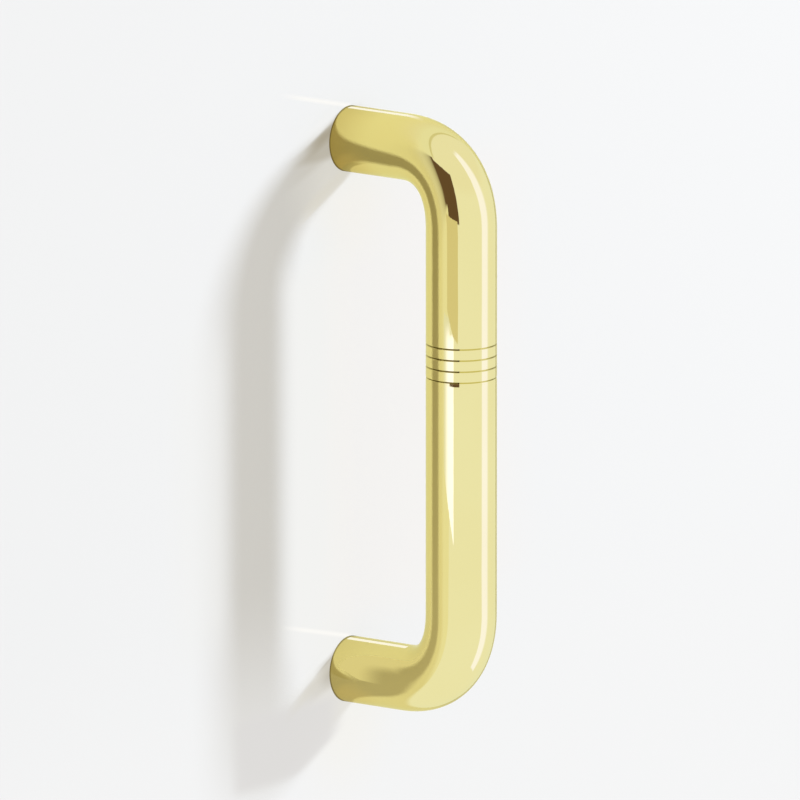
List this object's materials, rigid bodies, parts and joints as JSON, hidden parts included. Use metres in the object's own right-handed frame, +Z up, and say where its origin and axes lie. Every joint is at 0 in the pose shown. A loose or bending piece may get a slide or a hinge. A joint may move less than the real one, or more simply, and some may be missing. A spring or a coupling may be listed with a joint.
{
  "type": "shower door handle",
  "caption": "Bow pull handle for a glass shower door: a polished brass bar bent into a staple, with fine turned grooves round the grip and tapped holes in the feet.",
  "frame": {"origin": "on the door's surface, midway between the two feet", "axes": "+Z up along the grip, +Y into the door, so the handle stands out towards -Y; X runs across the door"},
  "size_m": [0.02, 0.0492, 0.1712],
  "materials": {
    "polished_brass": "polished"
  },
  "bodies": {
    "root": {"pull_handle": "polished_brass"}
  },
  "joints": []
}
